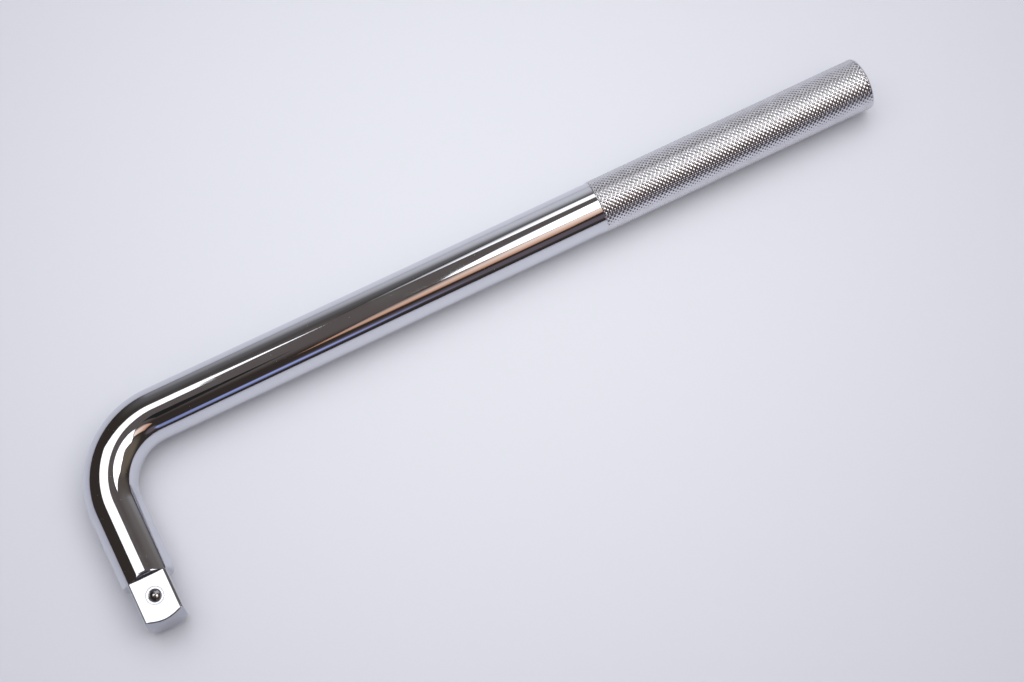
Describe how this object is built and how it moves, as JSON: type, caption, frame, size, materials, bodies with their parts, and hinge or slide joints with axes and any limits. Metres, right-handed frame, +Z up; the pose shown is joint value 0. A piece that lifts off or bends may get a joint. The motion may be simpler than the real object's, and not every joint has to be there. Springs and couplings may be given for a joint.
{
  "type": "breaker bar",
  "caption": "L-shaped breaker bar: round polished shank bent to a right angle, knurled grip, fixed square drive with a sprung detent ball.",
  "frame": {"origin": "centre of the footprint, at the height of the surface that the bar lies on", "axes": "+X along the grip arm from the bend to the grip's end, -Y along the drive arm from the bend to the square, +Z up, square to both arms and out of the flat that holds the detent ball"},
  "size_m": [0.4296, 0.1078, 0.0265],
  "materials": {
    "chrome_plate": "bright mirror chrome plating over polished forged steel, knurled on the grip",
    "ball_steel": "polished bearing steel",
    "spring_steel": "drawn spring wire"
  },
  "bodies": {
    "handle": {"bar": "chrome_plate", "detent_spring": "spring_steel"},
    "detent": {"detent_ball": "ball_steel"}
  },
  "joints": [
    {"name": "detent_press", "type": "slide", "parent": "handle", "child": "detent", "axis": [0, 0, -1], "range_m": [0, 0.0015], "stiffness_N_per_m": 1500, "springref_m": -0.003, "deforming": ["detent_spring"]}
  ]
}
